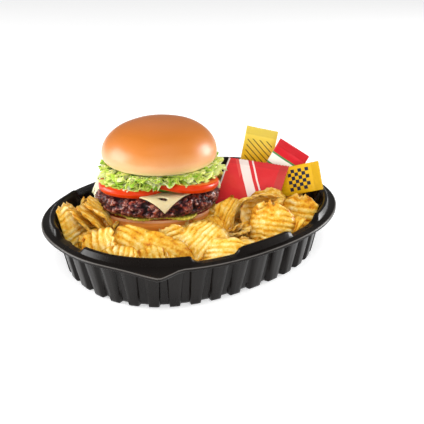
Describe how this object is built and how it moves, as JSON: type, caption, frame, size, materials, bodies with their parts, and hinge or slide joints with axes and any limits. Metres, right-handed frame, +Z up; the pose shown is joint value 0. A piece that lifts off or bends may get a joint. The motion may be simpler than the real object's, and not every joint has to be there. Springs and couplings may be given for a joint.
{
  "type": "burger meal in a takeaway tray",
  "caption": "Open oval fluted takeaway tray holding a stacked burger with cheese, tomato and lettuce, a heap of ridged potato chips and standing sauce sachets.",
  "frame": {"origin": "on the table under the middle of the tray's oval rim", "axes": "+X along the tray's length, +Y across it, +Z up; the meal faces the pull tab at the -X -Y corner"},
  "size_m": [0.285, 0.2306, 0.126],
  "materials": {
    "tray": "black thermoformed polypropylene, satin gloss",
    "bun": "baked bun crust, light oily sheen",
    "beef": "grilled minced beef, moist",
    "pickle": "wet pickled cucumber",
    "cheese": "soft white cheese, waxy",
    "tomato": "wet tomato skin and flesh",
    "lettuce": "fresh ruffled leaf",
    "chips": "fried potato, dry with a little oil",
    "film_yellow": "printed laminated film",
    "film_red": "printed laminated film",
    "film_ochre": "printed laminated film",
    "film_scarlet": "printed laminated film"
  },
  "bodies": {
    "root": {"tray": "tray", "bun_top": "bun", "bun_bottom": "bun", "patty": "beef", "pickle_1": "pickle", "pickle_2": "pickle", "cheese": "cheese", "tomato_left": "tomato", "tomato_right": "tomato", "lettuce": "lettuce", "chips": "chips", "sachet_mustard": "film_yellow", "sachet_ketchup": "film_red", "sachet_mayonnaise": "film_ochre", "sachet_seasoning": "film_scarlet"}
  },
  "joints": []
}
